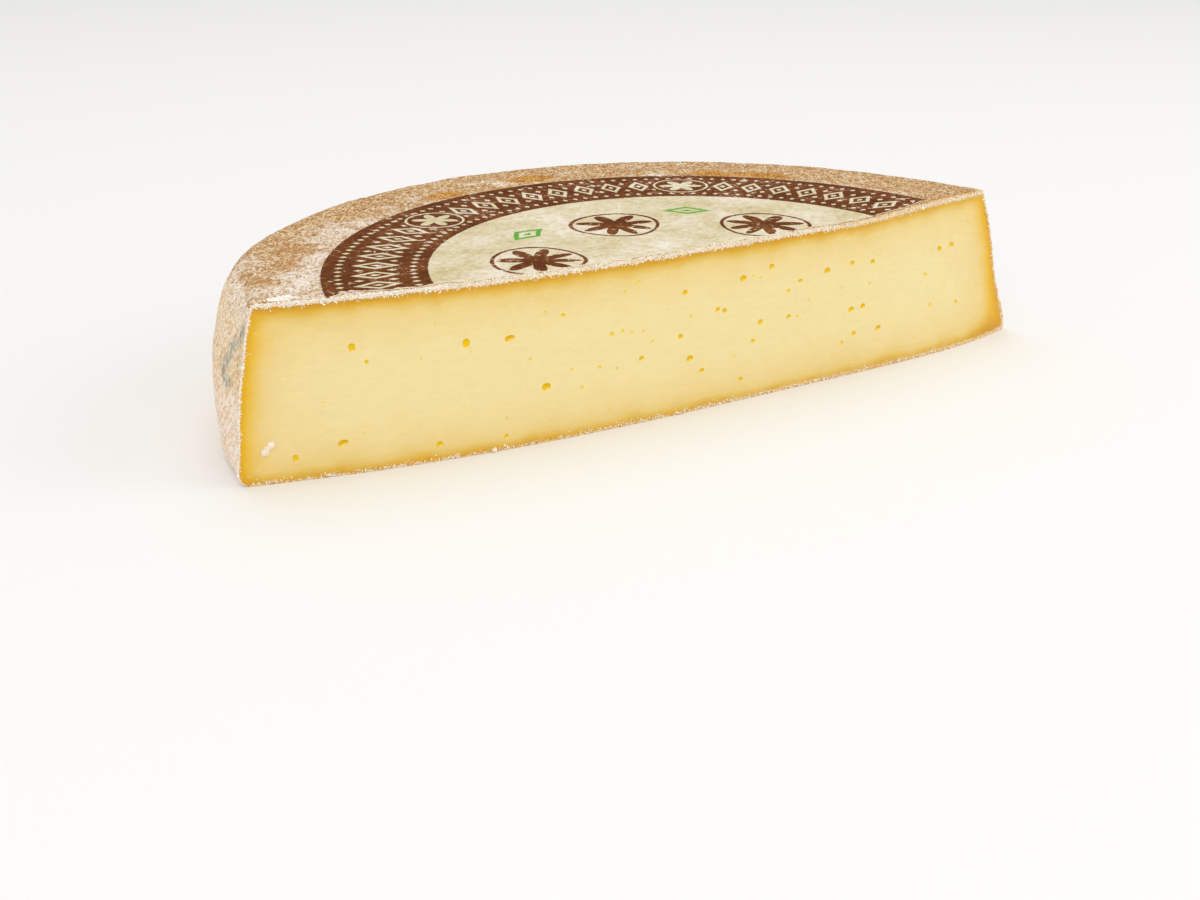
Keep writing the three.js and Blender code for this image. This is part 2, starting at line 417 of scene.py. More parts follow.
def add_node(tree, kind, inputs=(), operation=None, stops=(), **settings):
    """Add a node: its settings, its inputs in order or by name, and a ramp's stops as (place, colour)."""
    made = tree.nodes.new(kind)
    if operation:
        made.operation = operation
    for key, value in settings.items():
        setattr(made, key, value)
    sockets = [socket for socket in made.inputs if socket.enabled]
    if isinstance(inputs, dict):
        by_name = {socket.name: socket for socket in reversed(sockets)}
        pairs = [(by_name[name], value) for name, value in inputs.items()]
    else:
        pairs = zip(sockets, inputs)
    for socket, value in pairs:
        if isinstance(value, bpy.types.Node):
            value = next(out for out in value.outputs if out.enabled)
        if isinstance(value, bpy.types.NodeSocket):
            tree.links.new(value, socket)
        else:
            socket.default_value = opaque(value) if isinstance(value, str) else value
    if stops:
        elements = made.color_ramp.elements
        while len(elements) < len(stops):
            elements.new(1.0)
        for element, (place, colour) in zip(elements, stops):
            element.position = place
            element.color = opaque(colour)
    return made


def opaque(colour):
    """Four linear channels from a hex colour, or from three that are linear already."""
    return (*(linear(colour) if isinstance(colour, str) else colour), 1.0)


def new_material(name):
    """An empty material, and the function that adds a node to it."""
    material = bpy.data.materials.new(name)
    material.use_nodes = True
    material.node_tree.nodes.clear()
    return material, partial(add_node, material.node_tree)


def close_material(add, inputs):
    """Add the Principled shader with its inputs, and the output that it feeds."""
    shader = add("ShaderNodeBsdfPrincipled", inputs)
    add("ShaderNodeOutputMaterial", (shader,))


def coat(add, base, *coats):
    """Lay colours over a base one after another, each by its own share."""
    for share, colour in coats:
        base = add(MIX, (share, base, colour), data_type='RGBA')
    return base


def vertex_values(add, *names):
    """What the mesh keeps on its vertices under these names."""
    return [add(ATTRIBUTE, attribute_name=name).outputs["Fac"] for name in names]


def round_axis(add, place):
    """Where a point lies from the wheel's axis: as a vector, as its parts, and its angle round the axis."""
    centred = add(VECTOR, (place, tuple(AXIS)), 'SUBTRACT')
    parts = add("ShaderNodeSeparateXYZ", (centred,)).outputs
    return centred, parts, add(MATH, (parts["Y"], parts["X"]), 'ARCTAN2')


def per_metre(millimetres):
    """Noise scale whose lumps are about this wide."""
    return 1.0 / (millimetres * MM)


# How far the amber fades into the paste, in millimetres
AMBER_REACH = 20.0


def paste_material(colours):
    """Semi-hard paste opened by a knife: moist and faintly streaked, drier and amber towards the rind."""
    material, add = new_material("knife_cut_paste")
    place = add("ShaderNodeTexCoord").outputs["Object"]
    depth, side_near, crust_depth, tan_share = vertex_values(
        add, "rind_depth", "side_near", "crust_depth", "crust_tan")
    clouds = add(NOISE, {"Vector": place, "Scale": per_metre(14), "Detail": 3.0})
    grain = add(NOISE, {"Vector": place, "Scale": per_metre(1.0), "Detail": 3.0, "Roughness": 0.6})
    drift = add(RANGE, (clouds, 0.3, 0.7, 0.82, 1.2))
    drifted = add(MATH, (depth, drift), 'MULTIPLY')
    share = add(MATH, (drifted, AMBER_REACH), 'DIVIDE')
    # The amber is browner and narrower under the top and base than at the two ends
    under_flat = add(RAMP, (share,), stops=(
        (0.0, "#c1810f"), (0.06, "#cd9112"), (0.1, "#d39c1e"), (0.15, "#dcab33"),
        (0.2, "#e2ba52"), (0.3, "#e9cd81"), (0.4, "#ebd28b"), (0.5, "#edd593"),
        (0.7, "#eed99a"), (1.0, colours.paste)))
    under_side = add(RAMP, (share,), stops=(
        (0.0, "#d48f08"), (0.05, "#db9d16"), (0.1, colours.amber), (0.15, "#e5b11c"),
        (0.2, "#e8b934"), (0.25, "#eabf4e"), (0.35, "#ebc972"), (0.45, "#eccf86"),
        (0.6, "#edd493"), (0.8, "#eed89a"), (1.0, colours.paste)))
    paste = coat(add, under_flat, (side_near, under_side))
    # The blade smears the paste in short strokes that rise a little to the right
    drawn = add("ShaderNodeMapping", {
        "Vector": place, "Rotation": (0.0, math.radians(-8), 0.0),
        "Scale": (per_metre(6), per_metre(6), per_metre(1.5))})
    lines = add(NOISE, {"Vector": drawn, "Scale": 1.0, "Detail": 4.0, "Roughness": 0.65})
    bright = add(RANGE, (lines, 0.28, 0.72, 0.972, 1.028))
    lined = add(VECTOR, (paste, bright), 'SCALE')
    # Pale nicks and yellow pinpricks, less than a millimetre across
    seeds = add(NOISE, {"Vector": drawn, "Scale": 2.6, "Detail": 0.0})
    nick = add(RANGE, (seeds, 0.78, 0.88, 0.0, 0.3), **SMOOTH)
    prick = add(RANGE, (seeds, 0.22, 0.15, 0.0, 0.5), **SMOOTH)
    # Broken rind shows as a pale ragged crust round the cut
    ragged = add(RANGE, (grain, 0.3, 0.7, -0.6, 0.6))
    broken = add(MATH, (crust_depth, ragged), 'ADD')
    crust = add(RANGE, (broken, 0.85, 1.3, 1.0, 0.0), **SMOOTH)
    crust_pale = add(RAMP, (grain,), stops=(
        (0.36, "#e8caa0"), (0.5, "#f6e7d0"), (0.62, "#fcf7ee")))
    crust_tan = add(RAMP, (grain,), stops=(
        (0.36, "#c68e3c"), (0.5, "#e4bd7a"), (0.64, "#f3dba8")))
    crust_tone = coat(add, crust_pale, (tan_share, crust_tan))
    faced = coat(add, lined, (nick, "#fbf3dc"), (prick, "#ecc650"), (crust, crust_tone))
    height = add(MATH, (grain, 0.4, lines), 'MULTIPLY_ADD')
    bump = add("ShaderNodeBump", {"Height": height, "Strength": 0.15, "Distance": 0.12 * MM})
    close_material(add, {
        "Base Color": faced, "Normal": bump, "Roughness": add(RANGE, (clouds, 0.3, 0.7, 0.42, 0.55)),
        "Specular IOR Level": 0.3, "Subsurface Weight": 0.2, "Subsurface Radius": (1.0, 0.6, 0.25),
        "Subsurface Scale": 1.5 * MM})
    return material


def eye_material(name, shade, wall, painted_highlight):
    """Wall of a gas hole: the paste's own skin, moist and golden, with painted shade where it faces down and
    away from the lights and a painted highlight where it faces up towards them.
    """
    material, add = new_material(name)
    normal = add("ShaderNodeNewGeometry").outputs["Normal"]
    # Painted light: the wall's facing picks its colour, painted shade where it faces down and a pale painted
    # highlight where it faces up towards the top and key lights
    lower = add(VECTOR, (normal, (-0.35, -0.2, 0.9)), 'DOT_PRODUCT').outputs["Value"]
    share = add(RANGE, (lower, -1.0, 1.0))
    tone = add(RAMP, (share,), stops=(
        (0.2, shade), (0.65, wall), (0.9, wall), (0.96, painted_highlight)))
    close_material(add, {"Base Color": tone, "Roughness": 0.45, "Specular IOR Level": 0.15})
    return material


def felt(add, place):
    """Felted bloom: light threads and dark furrows are the level lines of two fine noises, brushed in one
    direction and drawn a little coarser than life."""
    brushed = add("ShaderNodeMapping", {
        "Vector": place, "Rotation": (0.0, 0.0, math.radians(-30)), "Scale": (1.0, 1.7, 1.0)},
        vector_type='TEXTURE')
    strands = []
    for size, seed in ((2.0, 0.0), (1.7, 5.0)):
        cloud = add(NOISE, {
            "Vector": brushed, "W": seed, "Scale": per_metre(size), "Detail": 1.5, "Roughness": 0.5,
            "Distortion": 0.9}, noise_dimensions='4D')
        from_level = add(MATH, (cloud, 0.5), 'SUBTRACT')
        off_line = add(MATH, (from_level,), 'ABSOLUTE')
        strands.append(add(RANGE, (off_line, 0.0, 0.1, 1.0, 0.0), **SMOOTH))
    tangle = add(MATH, strands, 'SUBTRACT')
    return add(MATH, (tangle, 0.5, 0.5), 'MULTIPLY_ADD')


def twill(add, place, fleck, mottle):
    """The pressing cloth's slanting ridges round the side, broken into dashes and drawn a little coarser
    than life."""
    _, parts, angle = round_axis(add, place)
    arc = add(MATH, (angle, BELLY_RADIUS), 'MULTIPLY')
    lift = add(MATH, (parts["Z"], 1 / MM), 'MULTIPLY')
    up_right = add(MATH, (arc, lift), 'ADD')
    slant = add(MATH, (up_right, TWILL_PITCH), 'DIVIDE')
    ridge = add(MATH, (add(MATH, (fleck, 1.1, slant), 'MULTIPLY_ADD'), 0.5), 'PINGPONG')
    down_right = add(MATH, (arc, lift), 'SUBTRACT')
    across = add(MATH, (down_right, TWILL_PITCH * 2), 'DIVIDE')
    dash = add(MATH, (add(MATH, (mottle, 1.6, across), 'MULTIPLY_ADD'), 0.5), 'PINGPONG')
    return add(RANGE, (add(MATH, (ridge, dash), 'ADD'), 0.2, 0.8))


def rind_material(colours):
    """Washed rind pressed in cloth: tan skin and dry bloom, felted on top, twilled round the side."""
    material, add = new_material("washed_rind")
    place = add("ShaderNodeTexCoord").outputs["Object"]
    side, pallor, streak, gap, torn, stain, tan_share = vertex_values(
        add, "side_share", "pallor", "mould_streak", "cut_gap", "torn", "stain", "crust_tan")
    patches = add(NOISE, {
        "Vector": place, "Scale": per_metre(30), "Detail": 5.0, "Roughness": 0.6, "Distortion": 0.5})
    mottle = add(NOISE, {"Vector": place, "Scale": per_metre(6), "Detail": 5.0, "Roughness": 0.65})
    fleck = add(NOISE, {"Vector": place, "Scale": per_metre(2.2), "Detail": 3.0, "Roughness": 0.7})
    fibre = felt(add, place)
    part_felt = add(MATH, (fibre, 0.7), 'MULTIPLY')
    side_grain = add(MATH, (twill(add, place, fleck, mottle), 0.3, part_felt), 'MULTIPLY_ADD')
    grain = add(MIX, (side, fibre, side_grain))
    # Tan skin, orange where the wash lay longest
    skin = add(RAMP, (grain,), stops=(
        (0.0, "#986530"), (0.3, "#b38549"), (0.5, colours.rind), (1.0, "#e8d3b2")))
    wash = add(MATH, (mottle, 0.5, patches), 'MULTIPLY_ADD')
    orange = add(RANGE, (wash, 0.82, 0.96, 0.0, 0.6), **SMOOTH)
    # Bloom in drifts, thick by the label and at the cut's left end
    powder = add(RAMP, (grain,), stops=(
        (0.0, "#b98c58"), (0.3, "#d3ba98"), (0.5, colours.bloom), (1.0, "#f6eee4")))
    side_tan = add(RAMP, (grain,), stops=(
        (0.0, "#cb9655"), (0.35, "#e2c292"), (0.55, "#ecd2a8"), (1.0, "#f9ecd6")))
    side_peach = add(RAMP, (grain,), stops=(
        (0.08, "#dba878"), (0.36, "#eed2b3"), (0.55, "#f5e2cd"), (0.95, "#fdf6ec")))
    side_powder = coat(add, side_tan, (add(RANGE, (pallor, 0.16, 0.42)), side_peach))
    bloom = coat(add, powder, (side, side_powder))
    paler = add(MATH, (pallor, patches), 'SUBTRACT')
    drift = add(MATH, (mottle, -0.45, paler), 'MULTIPLY_ADD')
    cover = add(RANGE, (drift, -0.83, -0.6), **SMOOTH)
    # Orange stains of the wash that the bloom has not covered
    mottled = add(MATH, (mottle, stain), 'MULTIPLY')
    soaked = add(RANGE, (mottled, 0.06, 0.26, 0.0, 0.92), **SMOOTH)
    stain_tone = add(RAMP, (grain,), stops=(
        (0.1, "#9c5e08"), (0.5, "#be7e1c"), (1.0, "#deae52")))
    # Brown flecks, then grey-blue mould in spots and in one streak
    bare = add(MATH, (cover, -0.4, 0.5), 'MULTIPLY_ADD')
    brown = add(RANGE, (fleck, 0.62, 0.72, 0.0, bare), **SMOOTH)
    spots = add(NOISE, {"Vector": place, "Scale": per_metre(20), "Detail": 6.0, "Roughness": 0.7})
    spot_share = add(RANGE, (spots, 0.62, 0.72, 0.0, 0.6), **SMOOTH)
    side_spots = add(MATH, (spot_share, side), 'MULTIPLY')
    hair = add(RANGE, (fleck, 0.35, 0.6, 0.15, 0.8))
    streak_share = add(MATH, (streak, hair), 'MULTIPLY')
    mould = add(MATH, (side_spots, streak_share), 'MAXIMUM')
    mould_tone = add(RAMP, (fleck,), stops=((0.4, "#b3b9b1"), (0.62, "#707b77")))
    # The last millimetre or two before the cut is crumbled pale, and torn white near the left end
    ragged_gap = add(MATH, (mottle, 3.0, gap), 'MULTIPLY_ADD')
    crumbled = add(RANGE, (ragged_gap, 1.9, 3.0, 0.85, 0.0), **SMOOTH)
    crumb_pale = add(RAMP, (fleck,), stops=(
        (0.35, "#dcae76"), (0.5, "#f1d9b4"), (0.65, "#fbf1e0")))
    crumb_tan = add(RAMP, (fleck,), stops=(
        (0.38, "#9c6424"), (0.5, "#bd8743"), (0.65, "#d9b07a")))
    crumb_tone = coat(add, crumb_pale, (tan_share, crumb_tan))
    frayed = add(MATH, (fibre, 0.8, torn), 'MULTIPLY_ADD')
    laid_bare = add(MATH, (frayed, torn), 'MULTIPLY')
    white = add(RANGE, (laid_bare, 0.16, 0.5), **SMOOTH)
    coated = coat(
        add, skin, (orange, "#b98040"), (cover, bloom), (soaked, stain_tone), (brown, "#94683a"),
        (mould, mould_tone), (crumbled, crumb_tone), (white, "#fdf8f0"))
    relief = add(MATH, (grain, 0.6, mottle), 'MULTIPLY_ADD')
    bump = add("ShaderNodeBump", {"Height": relief, "Strength": 0.5, "Distance": 0.4 * MM})
    close_material(add, {"Base Color": coated, "Normal": bump, "Roughness": 0.86, "IOR": 1.45})
    return material


def crumb_material():
    """Crumbled rind: dry and chalky, from tan skin to white bloom, each crumb its own tone."""
    material, add = new_material("rind_crumb")
    place = add("ShaderNodeTexCoord").outputs["Object"]
    tone, = vertex_values(add, "tone")
    grains = add(NOISE, {"Vector": place, "Scale": per_metre(0.8), "Detail": 2.0})
    mixed = add(MATH, (grains, 0.35, tone), 'MULTIPLY_ADD')
    colour = add(RAMP, (mixed,), stops=(
        (0.1, "#c48232"), (0.4, "#eec582"), (0.7, "#f9e3ba"), (1.0, "#fef8ea")))
    bump = add("ShaderNodeBump", {"Height": grains, "Strength": 0.6, "Distance": 0.2 * MM})
    close_material(add, {
        "Base Color": colour, "Normal": bump, "Roughness": 0.9, "Subsurface Weight": 0.2,
        "Subsurface Radius": (1.0, 0.7, 0.4), "Subsurface Scale": 0.6 * MM})
    return material


def crystal_material():
    """Amino acid crystals in aged paste: waxy white, with painted shade in peach laid in patches by noise.
    """
    material, add = new_material("paste_crystal")
    place = add("ShaderNodeTexCoord").outputs["Object"]
    lumps = add(NOISE, {"Vector": place, "Scale": per_metre(1.2), "Detail": 3.0})
    # Painted shade: the peach end of this ramp stands for shade between the crystal's lumps, placed by noise
    tone = add(RAMP, (lumps,), stops=(
        (0.3, "#ebcba2"), (0.5, "#f4e1c6"), (0.7, "#fbf3e8")))
    close_material(add, {
        "Base Color": tone, "Roughness": 0.5, "IOR": 1.45, "Subsurface Weight": 0.3,
        "Subsurface Radius": (1.0, 0.7, 0.4), "Subsurface Scale": 1.0 * MM})
    return material


def print_motifs(add, angle, radius):
    """How much of each ink the ornament lays at an angle and radius round the axis."""
    inks = {}
    for ink, count, middle, wide, tall, power, petals, phase, levels in LABEL_MOTIFS:
        pitch = 2 * math.pi * middle / count
        turned = add(MATH, (angle, math.radians(phase)), 'SUBTRACT')
        travelled = add(MATH, (turned, middle), 'MULTIPLY')
        along = add(MATH, (travelled, pitch / 2), 'PINGPONG')
        rise = add(MATH, (radius, middle), 'SUBTRACT')
        reach_x = add(MATH, (along, wide), 'DIVIDE')
        reach_y = add(MATH, (add(MATH, (rise, tall), 'DIVIDE'),), 'ABSOLUTE')
        power_x = add(MATH, (reach_x, power), 'POWER')
        power_y = add(MATH, (reach_y, power), 'POWER')
        within = add(MATH, (power_x, power_y), 'ADD')
        if petals:
            bearing = add(MATH, (rise, along), 'ARCTAN2')
            wave = add(MATH, (add(MATH, (bearing, petals), 'MULTIPLY'),), 'COSINE')
            lobes = add(MATH, (wave, 0.42, 0.58), 'MULTIPLY_ADD')
            within = add(MATH, (within, lobes), 'DIVIDE')
        mask = add(RAMP, (within,), stops=[(at, (level,) * 3) for at, level in levels])
        if ink == "bare":
            inks["pale"] = add(MATH, (inks["pale"], mask), 'SUBTRACT', use_clamp=True)
        else:
            inks[ink] = add(MATH, (inks[ink], mask), 'MAXIMUM') if ink in inks else mask
    return inks


def label_material(colours, sizes):
    """Uncoated paper printed in brown and green, brushed with the rind until the ink wears through."""
    material, add = new_material("printed_paper")
    place = add("ShaderNodeTexCoord").outputs["Object"]
    tear, = vertex_values(add, "tear_gap")
    fibres = add(NOISE, {"Vector": place, "Scale": per_metre(1.3), "Detail": 4.0, "Roughness": 0.65})
    stains = add(NOISE, {"Vector": place, "Scale": per_metre(16), "Detail": 5.0, "Roughness": 0.65})
    rub = add(NOISE, {
        "Vector": place, "Scale": per_metre(2.6), "Detail": 5.0, "Roughness": 0.72, "Distortion": 0.8})
    centred, _, angle = round_axis(add, place)
    flat = add(VECTOR, (centred, (1 / MM, 1 / MM, 0.0)), 'MULTIPLY')
    reach = add(VECTOR, (flat,), 'LENGTH')
    # Ink spreads a little along the fibres, so no printed edge is quite smooth
    spread = add(RANGE, (fibres, 0.3, 0.7, -0.25, 0.25))
    radius = add(MATH, (reach, spread), 'ADD')
    inks = print_motifs(add, angle, radius)
    half_stains = add(MATH, (stains, 0.5), 'MULTIPLY')
    cloudy = add(MATH, (rub, 0.5, half_stains), 'MULTIPLY_ADD')
    paper = add(RAMP, (cloudy,), stops=(
        (0.36, "#c4b084"), (0.46, "#d5c89f"), (0.52, colours.paper), (0.62, "#ede5d6")))
    ink_tone = add(RAMP, (cloudy,), stops=(
        (0.38, "#562504"), (0.5, colours.print_brown), (0.62, "#8a5424")))
    ring_edge = sizes.ring_inner / MM
    ring = add(RANGE, (radius, ring_edge - INK_BLUR, ring_edge + INK_BLUR))
    inside_ring = add(MATH, (1.0, ring), 'SUBTRACT')
    middle_brown = add(MATH, (inks["brown"], inside_ring), 'MULTIPLY')
    ring_brown = add(MATH, (ring, inks["pale"]), 'SUBTRACT', use_clamp=True)
    browned = add(MATH, (middle_brown, ring_brown), 'MAXIMUM')
    # Wear: scratches and rubbed flecks, more in some places than in others
    rub_place = add(MATH, (stains, 0.35, rub), 'MULTIPLY_ADD')
    worn = add(RANGE, (rub_place, 0.76, 0.86, 0.0, 0.8), **SMOOTH)
    kept = add(MATH, (1.0, worn), 'SUBTRACT')
    brown_share = add(MATH, (browned, kept), 'MULTIPLY')
    green_share = add(MATH, (inks["green"], kept), 'MULTIPLY')
    # The torn edge shows the paper's pale core
    ragged = add(RANGE, (rub, 0.3, 0.7, -0.6, 0.6))
    frayed = add(MATH, (tear, ragged), 'ADD')
    core = add(RANGE, (frayed, 0.1, 0.5, 1.0, 0.0), **SMOOTH)
    green = opaque(colours.print_green)
    printed = coat(add, paper, (brown_share, ink_tone), (green_share, green), (core, "#f0dfc4"))
    fibred = add(RANGE, (fibres, 0.25, 0.75, 0.93, 1.07))
    toned = add(VECTOR, (printed, fibred), 'SCALE')
    height = add(MATH, (fibres, 0.5, stains), 'MULTIPLY_ADD')
    bump = add("ShaderNodeBump", {"Height": height, "Strength": 0.3, "Distance": 0.2 * MM})
    close_material(add, {"Base Color": toned, "Normal": bump, "Roughness": 0.85, "Specular IOR Level": 0.1})
    return material


def section_rows(height_rows, top_rows, bottom_rows, round_rows):
    """Once round the section from the foot of the cut: height, and share of the way to the rim."""
    quarter = np.linspace(0, math.pi / 2, round_rows + 1)
    foot = FOOT_ROUND * (1 - np.cos(quarter))
    wall = np.linspace(FOOT_ROUND, HEIGHT - SHOULDER_ROUND, height_rows - 2 * round_rows + 1)[1:-1]
    shoulder = HEIGHT - SHOULDER_ROUND * (1 - np.sin(quarter))
    up = np.concatenate([foot, wall, shoulder])
    top = np.linspace(0, 1, top_rows + 1)[1:-1]
    bottom = np.linspace(1, 0, bottom_rows + 1)[1:]
    height = np.concatenate([up, np.full(len(top), HEIGHT), up[::-1], np.zeros(len(bottom))])
    share = np.concatenate([np.zeros(len(up)), top, np.ones(len(up)), bottom])
    return height, share, len(up)


def body_places(along, height, share):
    """A point of the half wheel: along the cut, at a height, part of the way from the cut to the rim."""
    left, right = cut_ends(height)
    cut_x = mix(left, right, along)
    angle = mix(np.arctan2(cut_line(left, height), left), np.arctan2(cut_line(right, height), right), along)
    radius = outer_radius(angle, height)
    x = mix(cut_x, radius * np.cos(angle), share)
    y = mix(cut_line(cut_x, height), radius * np.sin(angle), share)
    return x, y


HEIGHT_ROWS = 80
TOP_ROWS = 72
BOTTOM_ROWS = 20
ROUND_ROWS = 8
MERGE_DISTANCE = 0.05 * MM


def model_body(sizes, paste, rind):
    """The bare half wheel as one closed grid, with its two materials and where each relief acts."""
    height, share, up_rows = section_rows(HEIGHT_ROWS, TOP_ROWS, BOTTOM_ROWS, ROUND_ROWS)
    piece, column, row = add_grid("half_wheel", sizes.stations, len(height) - 1)
    piece.data.materials.append(paste)
    piece.data.materials.append(rind)
    corners = np.empty(len(piece.data.polygons) * 4, dtype=np.int32)
    piece.data.polygons.foreach_get("vertices", corners)
    on_cut = row[corners].reshape(-1, 4).max(axis=1) < up_rows
    piece.data.polygons.foreach_set("material_index", np.where(on_cut, 0, 1).astype(np.int32))
    z = height[row]
    x, y = body_places(column / sizes.stations, z, share[row])
    move_vertices(piece, to_frame(x, y, z))
    # Where each relief acts: the rind outside the label and clear of the base, the open cut, its broken edge
    left, right = cut_ends(z)
    depth = np.minimum.reduce([HEIGHT - z, z, x - left, right - x])
    face = row < up_rows
    clear_of_label = np.clip((np.hypot(x, y) - LABEL_RADIUS - 1) / 4, 0, 1)
    clear_of_base = np.clip(z / 6, 0, 1)
    set_weights(piece, "rind", np.where(face, 0, clear_of_label * clear_of_base))
    set_weights(piece, "cut", np.where(face, np.clip((depth - 2) / 4, 0, 1), 0))
    set_weights(piece, "edge", np.where(face, np.clip(1 - depth / 2.2, 0, 1) * clear_of_base, 0))
    close_seams(piece, MERGE_DISTANCE)
    return piece


def model_eyes():
    """One egg, copied to every eye and joined into one cutter; smaller eyes are shallower and paler."""
    # Each eye material takes its painted shade, its golden wall and its painted highlight, in that order
    deep = eye_material("eye_wall", "#e6bc00", "#f2cd10", "#fbeab0")
    shallow = eye_material("shallow_eye_wall", "#eac63c", "#f0d258", "#fbedc0")
    deselect_all()
    bpy.ops.mesh.primitive_uv_sphere_add(segments=18, ring_count=12, radius=0.5)
    egg = bpy.context.object
    copies = []
    small_eyes = [(x, z, wide, SMALL_EYE_TALL * wide) for x, z, wide in SMALL_EYES]
    for along, up, width, height in (*LARGE_EYES, *small_eyes):
        copy = egg.copy()
        copy.data = egg.data.copy()
        copy.data.materials.append(deep if width > PALE_EYE else shallow)
        grown = (width - PINHOLE["width"]) / PINHOLE["full_after"]
        depth = EYE_DEPTH * width * min(max(grown, PINHOLE["least"]), 1.0)
        turn = Euler((0.0, math.sin(along) * 0.4, 0.0)).to_matrix().to_4x4()
        stretch = Matrix.Diagonal((width, 2 * depth, height, 1000)) * MM
        copy.matrix_world = Matrix.Translation(to_frame(along, cut_line(along, up), up)) @ turn @ stretch
        bpy.context.scene.collection.objects.link(copy)
        copies.append(copy)
    bpy.data.objects.remove(egg)
    for copy in copies:
        copy.select_set(True)
    bpy.context.view_layer.objects.active = copies[0]
    bpy.ops.object.join()
    cutter = bpy.context.object
    bpy.ops.object.transform_apply(location=True, rotation=True, scale=True)
    return cutter


def keep_attribute(piece, name, values):
    """Keep one number on each vertex for the materials to read."""
    layer = piece.data.attributes.new(name, 'FLOAT', 'POINT')
    layer.data.foreach_set("value", np.asarray(values, dtype=np.float32))


def blend_nearest(distances, sharpness=3.0):
    """Smallest of several distances, rounded where two are nearly alike."""
    return sum(np.maximum(d, 0.01) ** -sharpness for d in distances) ** (-1 / sharpness)


def streak_share(arc, z):
    """1 along the streak of mould, falling to 0 at its edges."""
    nearest = np.full_like(z, np.inf)
    for (a0, z0), (a1, z1) in zip(STREAK, STREAK[1:]):
        along = (arc - a0) * (a1 - a0) + (z - z0) * (z1 - z0)
        t = np.clip(along / ((a1 - a0) ** 2 + (z1 - z0) ** 2), 0, 1)
        nearest = np.minimum(nearest, np.hypot(arc - mix(a0, a1, t), z - mix(z0, z1, t)))
    return np.clip(1.5 - nearest / STREAK_WIDTH, 0, 1)


def on_ring(x, y, turn, radius, half_length, half_width):
    """1 in the middle of a patch of the top that follows the rim, falling to 0 round it."""
    off_turn = np.arctan2(y, x) - math.radians(turn)
    off_radius = np.hypot(x, y) - radius
    return np.exp(-(off_turn * radius / half_length) ** 2 - (off_radius / half_width) ** 2)


def note_paste(piece, x, z):
    """How deep in the paste a vertex lies, and whether an end of the cut is nearer than its top or base."""
    left, right = cut_ends(z)
    from_left, from_right = x - left, right - x
    near_flat = blend_nearest((HEIGHT - z, z + AMBER_SHIFT["base"]))
    near_side = blend_nearest((
        from_left + AMBER_SHIFT["left"], RIGHT_AMBER * from_right + AMBER_SHIFT["right"]))
    dried = np.exp(-(from_right / DRY_CORNER["along"]) ** 2 - (z / DRY_CORNER["up"]) ** 2)
    depth = blend_nearest((near_flat, near_side)) * (1 - DRY_CORNER["share"] * dried)
    keep_attribute(piece, "rind_depth", depth)
    keep_attribute(piece, "side_near", near_flat ** 3 / (near_flat ** 3 + near_side ** 3))


def note_crust(piece, x, y, z):
    """How far a vertex lies from the broken edge, in the face and behind it, and where that edge is tan."""
    left, right = cut_ends(z)
    top = HEIGHT - z
    # The crust is widest along the right part of the top, and thin round the foot and the left end
    to_right = smooth_step(x, 55.0, 95.0)
    top_fall = mix(CRUST_FALL["top_left"], CRUST_FALL["top"], smooth_step(x, -100.0, -70.0))
    base_fall = mix(CRUST_FALL["base_left"], CRUST_FALL["base_right"], smooth_step(x, -40.0, 60.0))
    right_fall = mix(CRUST_FALL["right_foot"], CRUST_FALL["right"], smooth_step(z, 8.0, 30.0))
    crust = np.minimum.reduce([
        top * mix(top_fall, CRUST_FALL["top_right"], to_right), z * base_fall,
        CRUST_FALL["left"] * (x - left), (right - x) * right_fall])
    keep_attribute(piece, "crust_depth", np.maximum(crust, 0))
    top_tan = to_right * mix(1.0, 0.5, smooth_step(top, 0.2, 1.2))
    keep_attribute(piece, "crust_tan", np.maximum(top_tan, 1 - smooth_step(z, 0.3, 3.0)))
    # On the left side the crumbled strip behind the cut is narrower
    gap = y - cut_line(x, z)
    left_side = smooth_step(top, 1.0, 5.0) * (1 - smooth_step(x, -130.0, -110.0))
    keep_attribute(piece, "cut_gap", gap + 0.9 * left_side)
    # The torn patch slants away from the cut
    off_middle = x - TORN_PATCH["middle"]
    off_slant = gap - TORN_PATCH["start"] - 1.6 - 0.35 * off_middle
    torn = np.clip(1 - (off_middle / TORN_PATCH["half"]) ** 2, 0, 1)
    keep_attribute(piece, "torn", 1.25 * torn * np.exp(-(off_slant / 2.3) ** 2))


